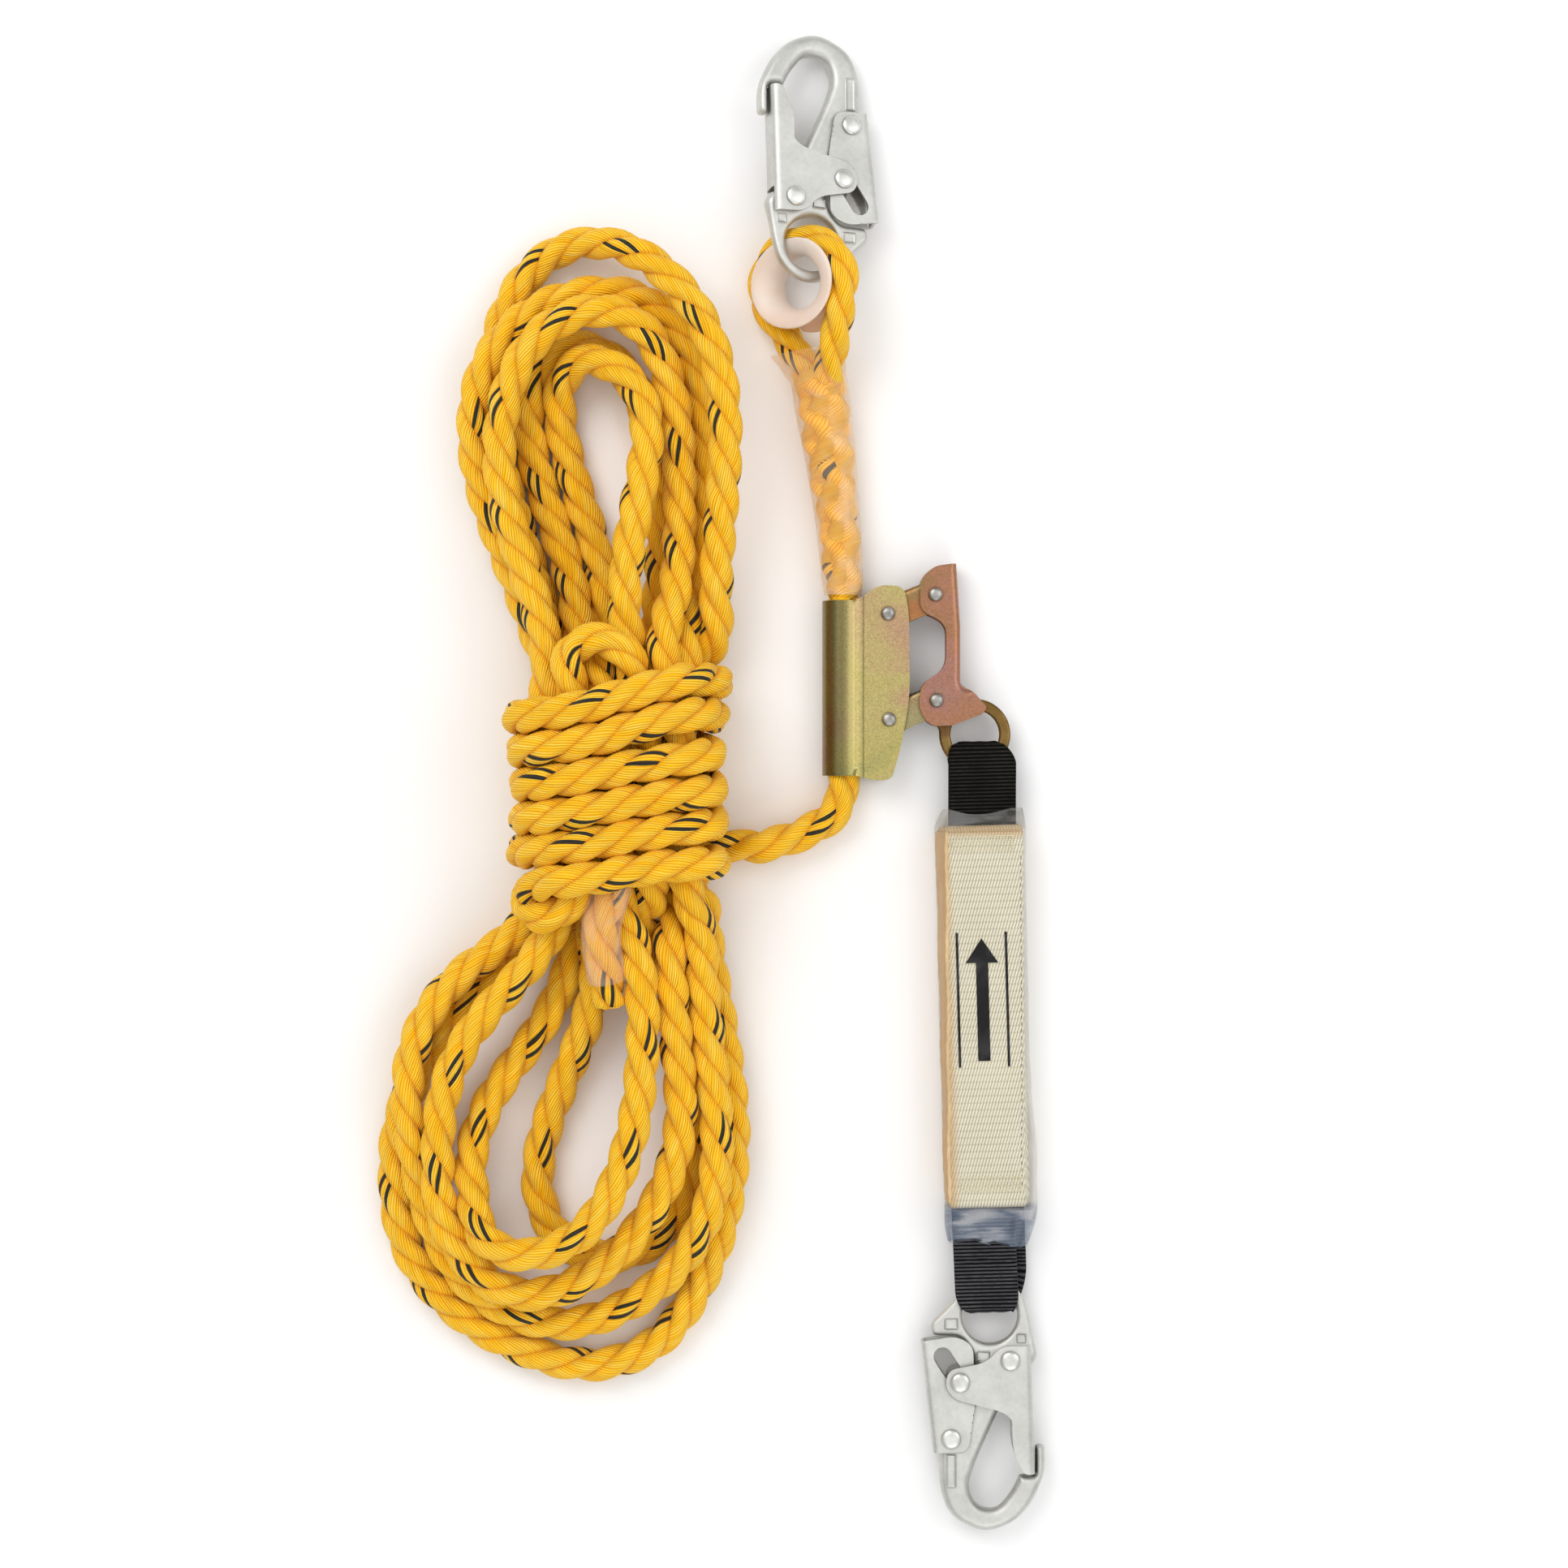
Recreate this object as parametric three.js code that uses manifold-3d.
// Rope lifeline with a rope grab and a shock absorbing lanyard, laid flat on a table.
// Millimetres, Z up. +Y runs from the bottom snap hook to the top snap hook.
import * as THREE from "three";
import { mergeVertices } from "three/addons/utils/BufferGeometryUtils.js";
import Module from "manifold-3d";

const wasm = await Module();
wasm.setup();

// ---------- driving dimensions ----------
const ROPE_D = 16;
const MID_Z = 11; // height of the middle plane of the hardware over the table

// snap hook, in its own frame: origin in the middle of the eye, bow towards +Y
const BODY_HALF = 5;
const EYE_HALF = 3.25;
const EYE_BORE = 13.6;
const EYE_RIM = 19.2;
const LEVER_IN = 5.3;
const LEVER_OUT = 6.7;
const GATE_IN = 7.0;
const GATE_OUT = 8.4;
const SHEET = 1.4;
const HEAD_R = 4.65;
const HEAD_H = 2.2;
const PIN_R = 2.5;
const LEVER_PIVOT = [19.2, 60.2];
const TONGUE_PIN = [14.8, 32.2];
const GATE_PIVOT = [-9.8, 21.5];
const GATE_SWING = 28;
const LEVER_SWING = 9;

// where the pieces lie
const TOP_EYE = [-41.4, 262.9, 24.6];
const TOP_ROLL = 17; // degrees, right side down
const TOP_PITCH = 8; // degrees, bow down
const BOTTOM_EYE = [47.1, -262.9, MID_Z];
const THIMBLE_AT = [-42.4, 243.4, 24.1];
const THIMBLE_TILT = 46; // degrees, left side down
const THIMBLE_R = 22.3; // radius of the rope's middle line round the thimble
const SPLICE_TOP = [-36.4, 193.2, 15.5];
const SPLICE_END = [-25.4, 91.5, MID_Z];
const SPLICE_R0 = 13.4;
const SPLICE_R1 = 9.9;

// rope grab
const GRAB_X = -25.2;
const SLEEVE = { low: 3, high: 89, inner: 8.5, outer: 10.2 };
const FLANGE_IN = 6.5;
const FLANGE_OUT = 8.5;
const LINK_LENGTH = 25.1;
const LINK_ANGLE = 22;
const LINK_IN = 4.6;
const LINK_OUT = 6.2;
const UPPER_PIVOT = [-3.2, 82.6];
const LOWER_PIVOT = [-2.7, 30.6];
const RING_AT = [39.8, 23.3];
const RING_BORE = 12;
const RING_RIM = 17.6;
const RING_HALF = 2.5;

// absorber, in its own frame: origin in the middle of the grab's eye, v runs down the strap
const ABSORBER_LEAN = 1.46; // degrees
const STRAP = 2.3;
const STRAP_WIDE = 33;
const STRAP_NECK = 21;
const CORE = { from: 46, to: 231, wide: 40, thick: 23 };
const FILM = 0.5;

const group = new THREE.Group();
group.name = "vertical_lifeline";

// ---------- materials ----------
const finish = {
  rope: [0xf2b128, 0, 0.8],
  steel: [0xc9cbc6, 1, 0.35],
  plating: [0xa3986a, 1, 0.35],
  copper: [0x8c6450, 1, 0.4],
  gold: [0x9a7434, 1, 0.35],
  rivet: [0x85857f, 1, 0.35],
  nylon: [0xe6d2c6, 0, 0.4],
  film: [0xdfe6e8, 0, 0.1],
  black: [0x161514, 0, 0.8],
  cream: [0xe8e0c4, 0, 0.8],
  tan: [0xc89a66, 0, 0.8],
};

function add(name, geometry, kind, parent = group) {
  const [color, metalness, roughness] = finish[kind];
  const mesh = new THREE.Mesh(geometry, new THREE.MeshStandardMaterial({ color, metalness, roughness }));
  mesh.name = name;
  parent.add(mesh);
  return mesh;
}

// ---------- small tools ----------
function solid(geometry) {
  const bare = geometry.clone();
  bare.deleteAttribute("normal");
  bare.deleteAttribute("uv");
  const g = mergeVertices(bare, 1e-4);
  return new wasm.Manifold(
    new wasm.Mesh({
      numProp: 3,
      vertProperties: new Float32Array(g.attributes.position.array),
      triVerts: new Uint32Array(g.index.array),
    }),
  );
}

function geometryOf(body) {
  const m = body.getMesh();
  const g = new THREE.BufferGeometry();
  g.setAttribute("position", new THREE.BufferAttribute(new Float32Array(m.vertProperties), 3));
  g.setIndex(new THREE.BufferAttribute(new Uint32Array(m.triVerts), 1));
  g.computeVertexNormals();
  return g;
}

// closed outline through corners [x, y, fillet]
function outline(corners) {
  const shape = new THREE.Shape();
  const n = corners.length;
  corners.forEach(([x, y, r = 0], i) => {
    const at = new THREE.Vector2(x, y);
    const before = new THREE.Vector2(...corners[(i + n - 1) % n]);
    const after = new THREE.Vector2(...corners[(i + 1) % n]);
    const back = before.clone().sub(at);
    const ahead = after.clone().sub(at);
    const reach = Math.min(r, back.length() * 0.48, ahead.length() * 0.48);
    const a = at.clone().addScaledVector(back.normalize(), reach);
    const b = at.clone().addScaledVector(ahead.normalize(), reach);
    if (i === 0) shape.moveTo(a.x, a.y);
    else shape.lineTo(a.x, a.y);
    if (reach > 0) shape.quadraticCurveTo(x, y, b.x, b.y);
  });
  return shape;
}

function slab(shape, low, high, bevel = 0, curveSegments = 3) {
  const options = { depth: high - low - 2 * bevel, bevelEnabled: false, curveSegments };
  if (bevel > 0) {
    Object.assign(options, { bevelEnabled: true, bevelThickness: bevel, bevelSize: bevel });
    Object.assign(options, { bevelOffset: -bevel, bevelSegments: 1 });
  }
  const g = new THREE.ExtrudeGeometry(shape, options);
  g.translate(0, 0, low + bevel);
  return g;
}

function disc(x, y, r, low, high, segments = 16) {
  const g = new THREE.CylinderGeometry(r, r, high - low, segments);
  g.rotateX(Math.PI / 2);
  g.translate(x, y, (low + high) / 2);
  return g;
}

function block(x0, x1, y0, y1, z0, z1) {
  const g = new THREE.BoxGeometry(x1 - x0, y1 - y0, z1 - z0);
  g.translate((x0 + x1) / 2, (y0 + y1) / 2, (z0 + z1) / 2);
  return g;
}

// rivet along Z with a low domed head beyond each end
function rivet([x, y], reach, shank = PIN_R, headR = HEAD_R) {
  const profile = [[0, -reach - HEAD_H]];
  profile.push([headR * 0.55, -reach - HEAD_H * 0.9], [headR * 0.9, -reach - HEAD_H * 0.5]);
  profile.push([headR, -reach], [shank, -reach], [shank, reach], [headR, reach]);
  profile.push([headR * 0.9, reach + HEAD_H * 0.5], [headR * 0.55, reach + HEAD_H * 0.9]);
  profile.push([0, reach + HEAD_H]);
  const g = new THREE.LatheGeometry(profile.map((p) => new THREE.Vector2(...p)), 16);
  g.rotateX(Math.PI / 2);
  g.translate(x, y, 0);
  return g;
}

function tube(points, radius, steps, sides = 10) {
  const ring = new THREE.Shape();
  ring.absarc(0, 0, radius, 0, 2 * Math.PI);
  const path = new THREE.CatmullRomCurve3(points.map((p) => new THREE.Vector3(...p)));
  return new THREE.ExtrudeGeometry(ring, {
    extrudePath: path,
    steps,
    curveSegments: sides / 2,
    bevelEnabled: false,
  });
}

function turned([x, y], [cx, cy], degrees) {
  const a = (degrees * Math.PI) / 180;
  const dx = x - cx;
  const dy = y - cy;
  return [cx + dx * Math.cos(a) - dy * Math.sin(a), cy + dx * Math.sin(a) + dy * Math.cos(a)];
}

// ---------- snap hook ----------
function hookBody() {
  const bow = outline([
    [-26.6, 64],
    [-27.4, 77, 6],
    [-21, 92, 8],
    [-12, 102, 9],
    [3, 107.4, 11],
    [20, 98.5, 11],
    [24.6, 85, 6],
    [25, 56, 5],
    [16, 50, 5],
    [6.5, 38, 8],
    [5, 20, 4],
    [8, 9, 3],
    [-20, 5, 3],
    [-23.6, 20, 3],
    [-20.6, 24.6, 1.5],
    [-15, 26.2, 2],
    [-4.4, 46.2, 4],
    [6.8, 71.2, 6],
    [11, 84, 6],
    [7, 94, 5],
    [-3.5, 95.8, 5],
    [-11.2, 86, 5],
    [-14.6, 78.6],
    [-22.2, 78.4],
    [-22.2, 64.6],
  ]);
  const eye = outline([
    [-20.4, 12, 2],
    [-19.4, 0, 8],
    [-16.6, -9.6, 8],
    [-9.6, -16.8, 8],
    [0, -19.6, 8],
    [9.6, -16.8, 8],
    [20, -5, 5],
    [29.4, 4, 3],
    [28.4, 9.8, 3],
    [14, 10.4, 3],
    [6, 24, 4],
    [-10, 24, 4],
  ]);
  let body = solid(slab(bow, -BODY_HALF, BODY_HALF, 1.6));
  body = body.add(solid(slab(eye, -EYE_HALF, EYE_HALF, 1.2)));
  body = body.add(solid(disc(...GATE_PIVOT, 6, -GATE_IN + 0.3, GATE_IN - 0.3)));
  body = body.subtract(solid(disc(0, 0, EYE_BORE, -20, 20, 32)));
  body = body.subtract(solid(disc(...GATE_PIVOT, PIN_R + 0.3, -20, 20)));
  body = body.subtract(solid(disc(...LEVER_PIVOT, PIN_R + 0.3, -20, 20)));
  const pocket = outline([
    [-16.5, 16, 3],
    [-4, 16, 4],
    [-2.5, 30, 4],
    [-8, 40, 1],
    [-24, 34, 1],
  ]);
  return geometryOf(body.subtract(solid(slab(pocket, -2.3, 2.3))));
}

function hookGate() {
  const plate = outline([
    [-22, 77.4, 0.8],
    [-16.8, 77.4, 2.5],
    [-11, 66, 6],
    [-10.6, 50, 4],
    [-6, 46.6, 4],
    [17.6, 40.4, 5],
    [22.4, 34, 4],
    [20.4, 26, 5],
    [2, 22.4, 6],
    [-5.4, 14.4, 4],
    [-20, 14.2, 1.5],
  ]);
  const hollow = outline([
    [-20.6, 90],
    [-18.9, 26.4],
    [-40, 26.4],
    [-40, 0],
    [40, 0],
    [40, 90],
  ]);
  let gate = solid(slab(plate, -GATE_OUT, GATE_OUT));
  gate = gate.subtract(solid(slab(hollow, -GATE_IN, GATE_IN)));
  gate = gate.subtract(solid(disc(...GATE_PIVOT, PIN_R + 0.3, -20, 20)));
  return geometryOf(gate.subtract(solid(disc(...TONGUE_PIN, PIN_R + 0.3, -20, 20))));
}

// the tongue pin's way through the lever as both turn together
function pinSlot(half) {
  let slot = null;
  const steps = 6;
  for (let i = 0; i <= steps; i++) {
    const pin = turned(TONGUE_PIN, GATE_PIVOT, (-GATE_SWING * i) / steps);
    const at = turned(pin, LEVER_PIVOT, (LEVER_SWING * i) / steps);
    const hole = solid(disc(...at, half, -20, 20));
    slot = slot ? slot.add(hole) : hole;
  }
  return slot;
}

function hookLever() {
  const plate = outline([
    [10.8, 66.4, 5],
    [27.7, 67.6, 1.5],
    [33.7, 13.6, 2.5],
    [17, 9.6, 6],
    [8.4, 14, 6],
    [8, 30, 3],
    [7.4, 43, 3],
  ]);
  const hollow = outline([
    [-20, 90],
    [-20, -10],
    [31.8, -10],
    [32.5, 11],
    [26.3, 66],
    [26.3, 90],
  ]);
  let lever = solid(slab(plate, -LEVER_OUT, LEVER_OUT));
  lever = lever.subtract(solid(slab(hollow, -LEVER_IN, LEVER_IN)));
  lever = lever.subtract(solid(disc(...LEVER_PIVOT, PIN_R + 0.3, -20, 20)));
  return geometryOf(lever.subtract(pinSlot(4.6)));
}

function gateSpring() {
  const points = [];
  const turns = 2;
  for (let i = 0; i <= turns * 12; i++) {
    const a = Math.PI / 2 + (i / 12) * 2 * Math.PI;
    const z = -1.1 + (2.2 * i) / (turns * 12);
    points.push([GATE_PIVOT[0] + 3.9 * Math.cos(a), GATE_PIVOT[1] + 3.9 * Math.sin(a), z]);
  }
  points.push([-14.6, 28, 1.1], [-18, 38, 1.1]);
  return tube(points, 0.45, 44, 6);
}

function snapHook(prefix, at, turn) {
  const frame = new THREE.Group();
  const body = add(`${prefix}_body`, hookBody(), "steel", frame);
  add(`${prefix}_gate`, hookGate(), "steel", frame);
  add(`${prefix}_lock_lever`, hookLever(), "steel", frame);
  add(`${prefix}_lever_rivet`, rivet(LEVER_PIVOT, LEVER_OUT + 0.2), "rivet", frame);
  add(`${prefix}_tongue_rivet`, rivet(TONGUE_PIN, GATE_OUT + 0.2), "rivet", frame);
  add(`${prefix}_gate_rivet`, rivet(GATE_PIVOT, GATE_OUT + 0.2), "rivet", frame);
  add(`${prefix}_gate_spring`, gateSpring(), "rivet", frame);
  frame.rotation.copy(turn);
  frame.position.set(...at);
  frame.updateMatrixWorld(true);
  for (const mesh of [...frame.children]) {
    mesh.geometry.applyMatrix4(frame.matrixWorld);
    group.add(mesh);
  }
  return body;
}

// ---------- thimble, rope eye and splice ----------
function thimbleFrame(geometry) {
  geometry.rotateY((-THIMBLE_TILT * Math.PI) / 180);
  geometry.translate(...THIMBLE_AT);
  return geometry;
}

function thimble() {
  const inner = ROPE_D / 2 + 0.4;
  const outer = inner + 2;
  const profile = [];
  for (let i = 0; i <= 6; i++) {
    const a = Math.PI * (0.58 + (0.84 * i) / 6);
    profile.push(new THREE.Vector2(THIMBLE_R + outer * Math.cos(a), outer * Math.sin(a)));
  }
  for (let i = 6; i >= 0; i--) {
    const a = Math.PI * (0.58 + (0.84 * i) / 6);
    profile.push(new THREE.Vector2(THIMBLE_R + inner * Math.cos(a), inner * Math.sin(a)));
  }
  profile.push(profile[0].clone());
  const g = new THREE.LatheGeometry(profile, 28);
  g.rotateX(Math.PI / 2);
  const clearance = tube(ropeEyeLine(), ROPE_D / 2 + 0.35, 28);
  return geometryOf(solid(thimbleFrame(g)).subtract(solid(clearance)));
}

function ropeEyeLine() {
  const points = [[-41.4, 197, 9.2], [-45.4, 209, 8.6]];
  const tilt = (THIMBLE_TILT * Math.PI) / 180;
  for (let degrees = 212; degrees >= -22; degrees -= 18) {
    const a = (degrees * Math.PI) / 180;
    points.push([
      THIMBLE_AT[0] + THIMBLE_R * Math.cos(a) * Math.cos(tilt),
      THIMBLE_AT[1] + THIMBLE_R * Math.sin(a),
      THIMBLE_AT[2] + THIMBLE_R * Math.cos(a) * Math.sin(tilt),
    ]);
  }
  points.push([-28.6, 214, 29], [-31, 197, 21.8]);
  return points;
}

function spliceFrame(geometry) {
  const from = new THREE.Vector3(...SPLICE_END);
  const to = new THREE.Vector3(...SPLICE_TOP);
  const way = to.clone().sub(from).normalize();
  geometry.applyQuaternion(new THREE.Quaternion().setFromUnitVectors(new THREE.Vector3(0, 1, 0), way));
  geometry.translate(from.x, from.y, from.z);
  return geometry;
}

function splice() {
  const length = new THREE.Vector3(...SPLICE_TOP).distanceTo(new THREE.Vector3(...SPLICE_END));
  const profile = [[0, 0.4], [SPLICE_R1 - 1.6, 0.4], [SPLICE_R1, 3], [SPLICE_R0, length * 0.75]];
  profile.push([SPLICE_R0, length - 2], [SPLICE_R0 - 2, length - 0.6], [0, length - 0.6]);
  return spliceFrame(new THREE.LatheGeometry(profile.map((p) => new THREE.Vector2(...p)), 24));
}

function spliceFilm() {
  const length = new THREE.Vector3(...SPLICE_TOP).distanceTo(new THREE.Vector3(...SPLICE_END));
  const gap = 0.3;
  const wall = 0.8;
  const line = [[SPLICE_R1 + gap, 0.4], [SPLICE_R1 + gap, 3], [SPLICE_R0 + gap, length * 0.75]];
  line.push([SPLICE_R0 + gap, length - 0.6]);
  const profile = line.map(([r, y]) => new THREE.Vector2(r, y));
  for (const [r, y] of [...line].reverse()) profile.push(new THREE.Vector2(r + wall, y));
  profile.push(profile[0].clone());
  return spliceFrame(new THREE.LatheGeometry(profile.reverse(), 24));
}

// ---------- rope on the table ----------
const RUN = [
  [GRAB_X, 90, MID_Z],
  [GRAB_X, 60, MID_Z],
  [GRAB_X, 30, MID_Z],
  [GRAB_X, 0, MID_Z],
  [GRAB_X - 0.3, -7, MID_Z],
  [-30.5, -16.6, MID_Z],
  [-40, -23.2, 11.5],
  [-52, -28.2, 13],
  [-68, -32.4, 16],
  [-84.6, -36, 19],
];

function hank() {
  const lobes = outline([
    [-180, 20, 30],
    [-215, 150, 40],
    [-214, 200, 40],
    [-190, 262, 50],
    [-140, 282, 50],
    [-95, 240, 50],
    [-73, 190, 40],
    [-80, 130, 30],
    [-90, 20, 30],
    [-86, -70, 30],
    [-68, -160, 30],
    [-68, -230, 50],
    [-100, -290, 50],
    [-160, -302, 50],
    [-220, -280, 50],
    [-258, -240, 60],
    [-258, -170, 60],
    [-235, -120, 60],
    [-180, -60, 30],
  ]);
  const waist = outline([
    [-90, 0.4, 20],
    [-86.5, 20, 16],
    [-86.5, 62, 16],
    [-90, 80, 20],
    [-178, 80, 20],
    [-186, 62, 16],
    [-186, 20, 16],
    [-178, 0.4, 20],
  ]);
  const band = slab(waist, -61.5, 64.5, 6, 4);
  band.rotateX(Math.PI / 2);
  let body = solid(slab(lobes, 0.4, 50, 12));
  body = body.add(solid(band));
  return geometryOf(body);
}

function endSleeve() {
  const wall = [[8.3, -24], [8.8, -24], [8.8, 24], [8.3, 24], [8.3, -24]];
  const g = new THREE.LatheGeometry(wall.map((p) => new THREE.Vector2(...p)), 24);
  g.rotateZ((16.8 * Math.PI) / 180);
  g.translate(-139.6, -92, 59.4);
  return g;
}

// ---------- rope grab ----------
function grabHousing() {
  const flange = outline([
    [-20, 90, 1],
    [-15, 91.3, 3],
    [-8, 96.6, 5],
    [4.6, 96.2, 5],
    [7, 84, 6],
    [7.6, 42, 10],
    [3.4, 18, 8],
    [-1.4, 1, 5],
    [-9, 0.6, 4],
    [-20, 3, 1],
  ]);
  const pipe = new THREE.CylinderGeometry(SLEEVE.outer, SLEEVE.outer, SLEEVE.high - SLEEVE.low, 32);
  pipe.translate(GRAB_X, (SLEEVE.low + SLEEVE.high) / 2, 0);
  const bore = new THREE.CylinderGeometry(SLEEVE.inner, SLEEVE.inner, 200, 32);
  bore.translate(GRAB_X, 40, 0);
  let body = solid(pipe).add(solid(slab(flange, -FLANGE_OUT, FLANGE_OUT)));
  body = body.subtract(solid(block(GRAB_X + 4, 20, -20, 120, -FLANGE_IN, FLANGE_IN)));
  body = body.subtract(solid(bore));
  for (const pivot of [UPPER_PIVOT, LOWER_PIVOT]) {
    body = body.subtract(solid(disc(...pivot, PIN_R + 0.3, -20, 20)));
  }
  const g = geometryOf(body);
  g.translate(0, 0, MID_Z);
  return g;
}

// link along +X from its pivot, with the cam nose behind the pivot
function grabLink(pivot) {
  const side = outline([
    [-9, -9, 6],
    [-13.4, -4.5, 3],
    [-12.6, 3, 3],
    [-8, 7.6, 3],
    [LINK_LENGTH + 7, 7.6, 7],
    [LINK_LENGTH + 7, -7.4, 7],
    [8, -7.4, 4],
    [0, -9, 4],
  ]);
  const channel = block(-6.5, 60, -30, 5.9, -LINK_IN, LINK_IN);
  let link = solid(slab(side, -LINK_OUT, LINK_OUT, 0.4));
  link = link.subtract(solid(channel));
  link = link.subtract(solid(disc(0, 0, PIN_R + 0.3, -20, 20)));
  link = link.subtract(solid(disc(LINK_LENGTH, 0, PIN_R + 0.3, -20, 20)));
  const g = geometryOf(link);
  g.rotateZ((LINK_ANGLE * Math.PI) / 180);
  g.translate(...pivot, MID_Z);
  return g;
}

const linkEnd = (pivot) => turned([pivot[0] + LINK_LENGTH, pivot[1]], pivot, LINK_ANGLE);

function grabHandle() {
  const side = outline([
    [12.6, 100, 5],
    [20, 106, 3],
    [30.4, 107.2, 2],
    [32.4, 76, 10],
    [32.4, 48, 3],
    [46, 42, 4],
    [46, 34, 4],
    [30, 28, 10],
    [17, 27.4, 5],
    [12, 36, 4],
    [13, 48, 5],
    [25.4, 56, 6],
    [25.4, 78, 6],
    [12.6, 84, 5],
  ]);
  let handle = solid(slab(side, -FLANGE_OUT, FLANGE_OUT));
  const hollow = outline([[0, 120], [28.6, 120], [30.4, 76], [30.4, 47], [60, 47], [60, 0], [0, 0]]);
  handle = handle.subtract(solid(slab(hollow, -FLANGE_IN, FLANGE_IN)));
  for (const pivot of [UPPER_PIVOT, LOWER_PIVOT]) {
    handle = handle.subtract(solid(disc(...linkEnd(pivot), PIN_R + 0.3, -20, 20)));
  }
  const g = geometryOf(handle);
  g.translate(0, 0, MID_Z);
  return g;
}

function grabEyePlate() {
  const pin = linkEnd(LOWER_PIVOT);
  const arm = outline([
    [pin[0] + 3.7, pin[1] + 4.2],
    [RING_AT[0] + 10.6, RING_AT[1] + 12.1],
    [RING_AT[0] - 11, RING_AT[1] - 12.6],
    [pin[0] - 3.7, pin[1] - 4.2],
  ]);
  let plate = solid(disc(...RING_AT, RING_RIM, -RING_HALF, RING_HALF, 32));
  plate = plate.add(solid(slab(arm, -RING_HALF, RING_HALF)));
  plate = plate.add(solid(disc(...pin, 5.6, -RING_HALF, RING_HALF)));
  plate = plate.subtract(solid(disc(...RING_AT, RING_BORE, -20, 20, 32)));
  plate = plate.subtract(solid(disc(...pin, PIN_R + 0.3, -20, 20)));
  const g = geometryOf(plate);
  g.translate(0, 0, MID_Z);
  return g;
}

function grabRivet(at, reach) {
  const g = rivet(at, reach, PIN_R, 3.4);
  g.translate(0, 0, MID_Z);
  return g;
}

// ---------- shock absorber ----------
function absorberFrame(geometry, height = CORE.thick / 2 + 1.4) {
  geometry.rotateZ((ABSORBER_LEAN * Math.PI) / 180);
  geometry.translate(...RING_AT, height);
  return geometry;
}

// strap doubled back on itself: fold at one end, both plies held at the other
function strapLoop(fold, root, gapHalf) {
  const out = Math.sign(fold - root);
  const outer = gapHalf + STRAP;
  const loop = outline([
    [-root, -outer + 0.6],
    [-fold, -outer, outer],
    [-fold, outer, outer],
    [-root, outer - 0.6],
  ]);
  const eye = outline([
    [-root - out * 5, -gapHalf + 0.4, 2],
    [-fold + out * STRAP, -gapHalf, gapHalf],
    [-fold + out * STRAP, gapHalf, gapHalf],
    [-root - out * 5, gapHalf - 0.4, 2],
  ]);
  const acrossStrap = new THREE.Matrix4().set(0, 0, 1, 0, 1, 0, 0, 0, 0, 1, 0, 0, 0, 0, 0, 1);
  const outside = slab(loop, -30, 30).applyMatrix4(acrossStrap);
  const inside = slab(eye, -40, 40).applyMatrix4(acrossStrap);
  const band = solid(outside).subtract(solid(inside));
  const wide = STRAP_WIDE / 2;
  const neck = STRAP_NECK / 2;
  const plan = outline([
    [-neck, -fold - out, 2],
    [neck, -fold - out, 2],
    [neck, -fold + out * 3, 3],
    [wide, -fold + out * 13, 4],
    [wide, -root - out],
    [-wide, -root - out],
    [-wide, -fold + out * 13, 4],
    [-neck, -fold + out * 3, 3],
  ]);
  return absorberFrame(geometryOf(band.intersect(solid(slab(plan, -20, 20)))), MID_Z);
}

// pack of folded webbing, its left side leaning so that it shows from above
function packSection(grow) {
  const w = CORE.wide / 2 + grow;
  const h = CORE.thick / 2 + grow;
  return outline([
    [-w, -h, 2],
    [w + 2, -h, 2],
    [w + 2, h, 3],
    [-w + 4, h, 3],
  ]);
}

function alongPack(section, from, to) {
  const g = new THREE.ExtrudeGeometry(section, { depth: to - from, bevelEnabled: false });
  g.rotateX(Math.PI / 2);
  g.translate(0, -from, 0);
  return g;
}

function absorberCore() {
  let core = solid(alongPack(packSection(0), CORE.from, CORE.to));
  const edge = solid(block(-40, -CORE.wide / 2 + 2.2, -400, 0, -40, 40));
  core = core.subtract(edge);
  const folds = 7;
  for (let i = 1; i < folds; i++) {
    const z = -CORE.thick / 2 + (CORE.thick * i) / folds;
    for (const end of [CORE.from, CORE.to]) {
      core = core.subtract(solid(block(-40, 40, -end - 2, -end + 2, z - 0.25, z + 0.25)));
    }
  }
  return absorberFrame(geometryOf(core));
}

function tearEdge() {
  const side = block(-40, -CORE.wide / 2 + 2, -400, 0, -40, 40);
  return absorberFrame(
    geometryOf(solid(alongPack(packSection(0), CORE.from + 1, CORE.to - 1)).intersect(solid(side))),
  );
}

function absorberFilm() {
  const outside = solid(alongPack(packSection(1.2), CORE.from - 8.5, CORE.to + 19));
  const inside = solid(alongPack(packSection(1.2 - FILM), CORE.from - 20, CORE.to + 40));
  return absorberFrame(geometryOf(outside.subtract(inside)));
}

// plain printed arrow on the top face
function printedMark() {
  const arrow = outline([
    [0, -100],
    [8, -112],
    [3, -112],
    [3, -160],
    [-3, -160],
    [-3, -112],
    [-8, -112],
  ]);
  return absorberFrame(slab(arrow, CORE.thick / 2 + 0.1, CORE.thick / 2 + 0.4));
}

function stitching(v) {
  const z = CORE.thick / 2 + 0.1;
  const rows = 4;
  let seam = null;
  for (let i = 0; i < rows; i++) {
    const y = -v - 2.2 * i;
    const row = solid(block(-14, 18, y - 0.9, y, z, z + 0.45));
    const link = solid(block(i % 2 ? -14 : 17, i % 2 ? -13 : 18, y - 2.4, y - 0.4, z, z + 0.45));
    seam = seam ? seam.add(row) : row;
    if (i < rows - 1) seam = seam.add(link);
  }
  return absorberFrame(geometryOf(seam));
}

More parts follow.
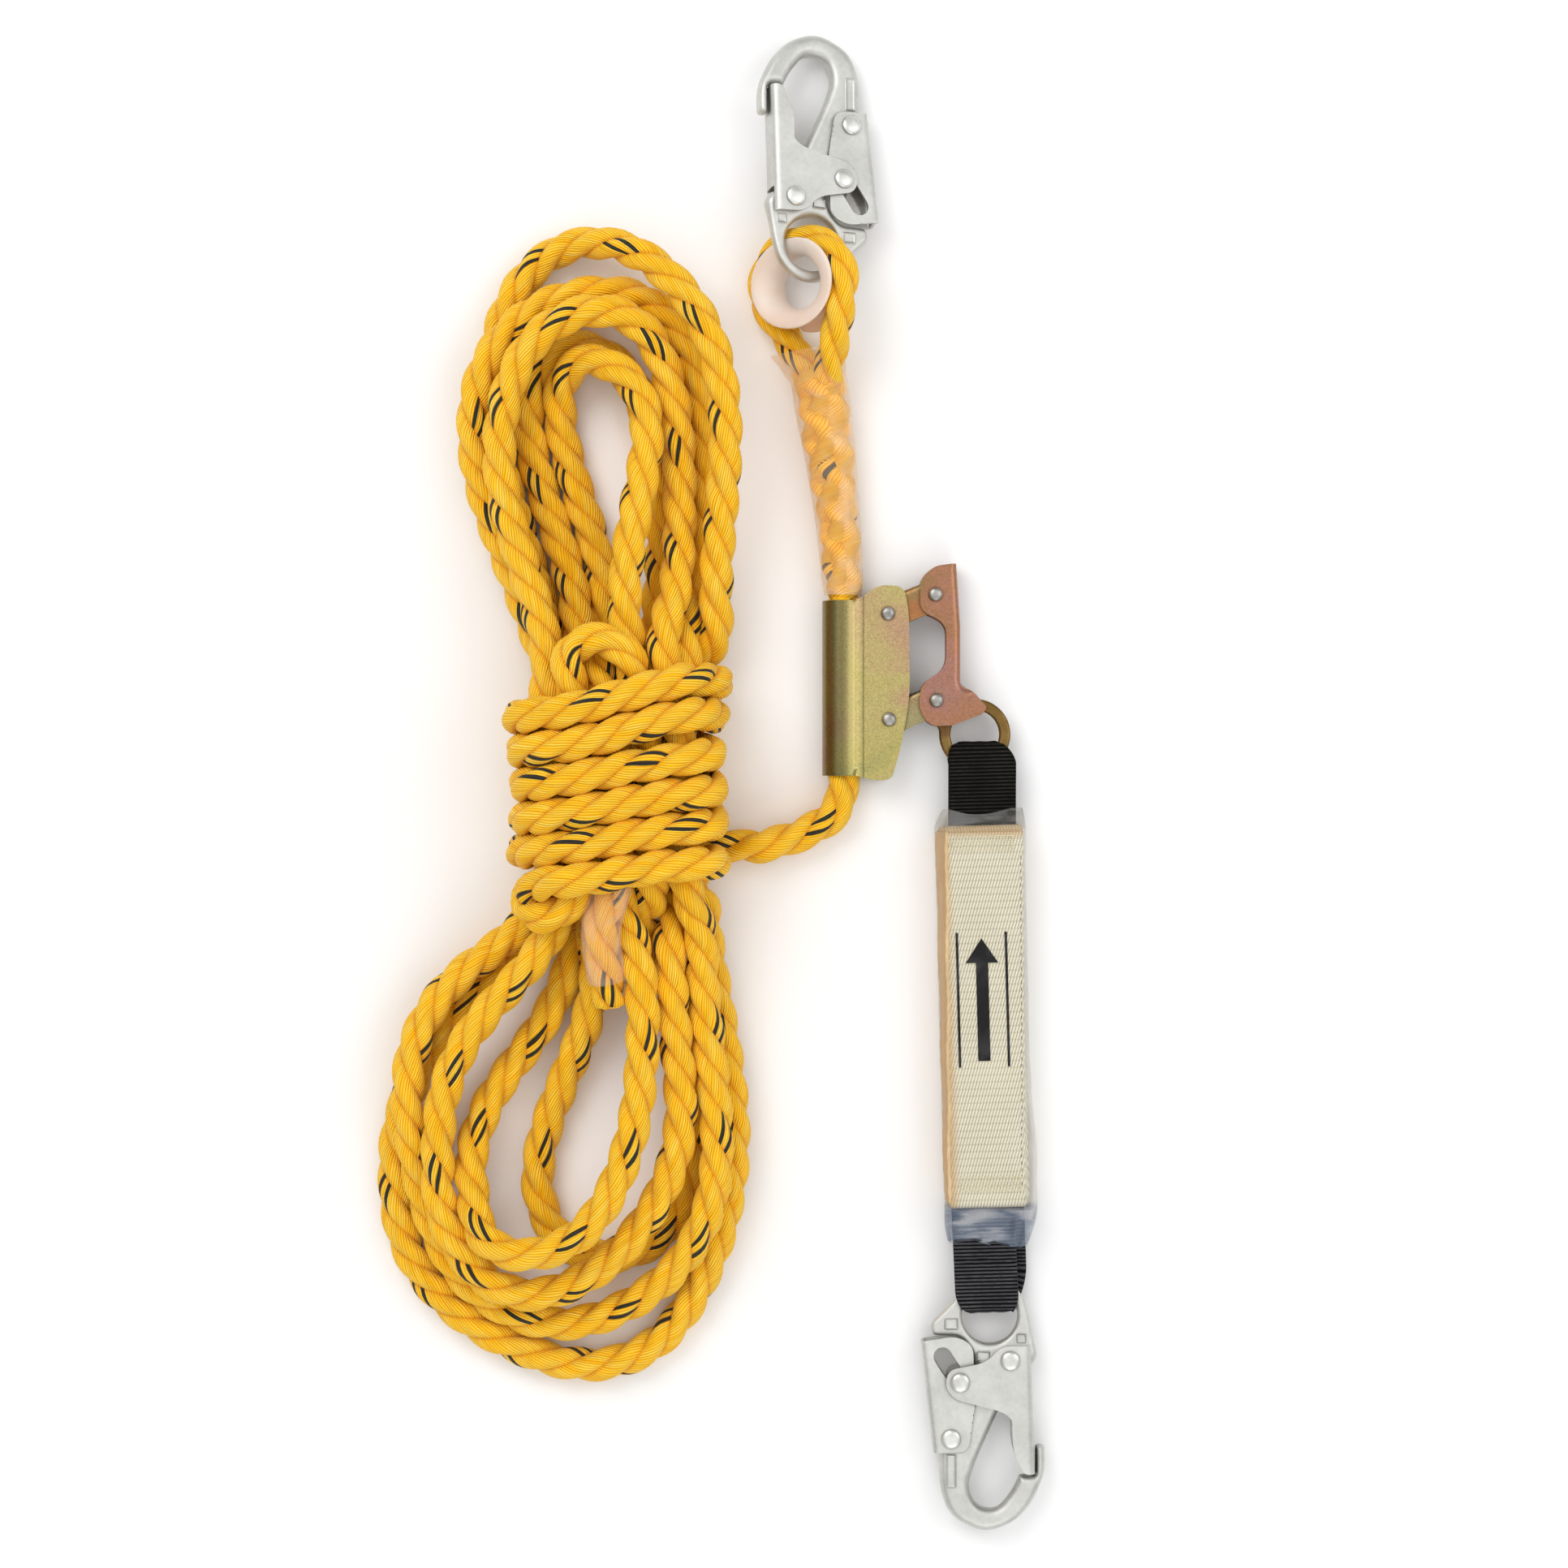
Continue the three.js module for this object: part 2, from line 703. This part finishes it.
// ---------- assembly ----------
const radians = THREE.MathUtils.degToRad;
snapHook("top_hook", TOP_EYE, new THREE.Euler(radians(-TOP_PITCH), radians(TOP_ROLL), 0));
snapHook("bottom_hook", BOTTOM_EYE, new THREE.Euler(0, 0, Math.PI));
add("thimble", thimble(), "nylon");
add("rope_eye", tube(ropeEyeLine(), ROPE_D / 2, 28), "rope");
add("rope_splice", splice(), "rope");
add("splice_film", spliceFilm(), "film");
add("grab_housing", grabHousing(), "plating");
add("grab_upper_link", grabLink(UPPER_PIVOT), "gold");
add("grab_lower_link", grabLink(LOWER_PIVOT), "gold");
add("grab_handle", grabHandle(), "copper");
add("grab_eye_plate", grabEyePlate(), "gold");
add("grab_upper_rivet", grabRivet(UPPER_PIVOT, FLANGE_OUT + 0.2), "rivet");
add("grab_lower_rivet", grabRivet(LOWER_PIVOT, FLANGE_OUT + 0.2), "rivet");
add("handle_upper_rivet", grabRivet(linkEnd(UPPER_PIVOT), FLANGE_OUT + 0.2), "rivet");
add("handle_lower_rivet", grabRivet(linkEnd(LOWER_PIVOT), FLANGE_OUT + 0.2), "rivet");
add("absorber_top_loop", strapLoop(2, CORE.from - 0.3, RING_HALF + 0.9), "black");
add("absorber_core", absorberCore(), "cream");
add("absorber_tear_edge", tearEdge(), "tan");
add("absorber_film", absorberFilm(), "film");
add("absorber_mark", printedMark(), "black");
add("absorber_top_stitching", stitching(CORE.from + 4), "cream");
add("absorber_bottom_stitching", stitching(CORE.to - 14), "cream");
add("absorber_bottom_loop", strapLoop(285, CORE.to + 0.3, EYE_HALF + 0.9), "black");
const cords = [
  add("rope_run", tube(RUN, ROPE_D / 2, 24), "rope"),
  add("rope_hank", hank(), "rope"),
  add("rope_end_sleeve", endSleeve(), "film"),
];

// origin under the middle of everything but the free rope
const box = new THREE.Box3();
for (const mesh of group.children) {
  if (!cords.includes(mesh)) box.expandByObject(mesh, true);
}
const middle = box.getCenter(new THREE.Vector3());
for (const mesh of group.children) mesh.geometry.translate(-middle.x, -middle.y, -box.min.z);

export default group;
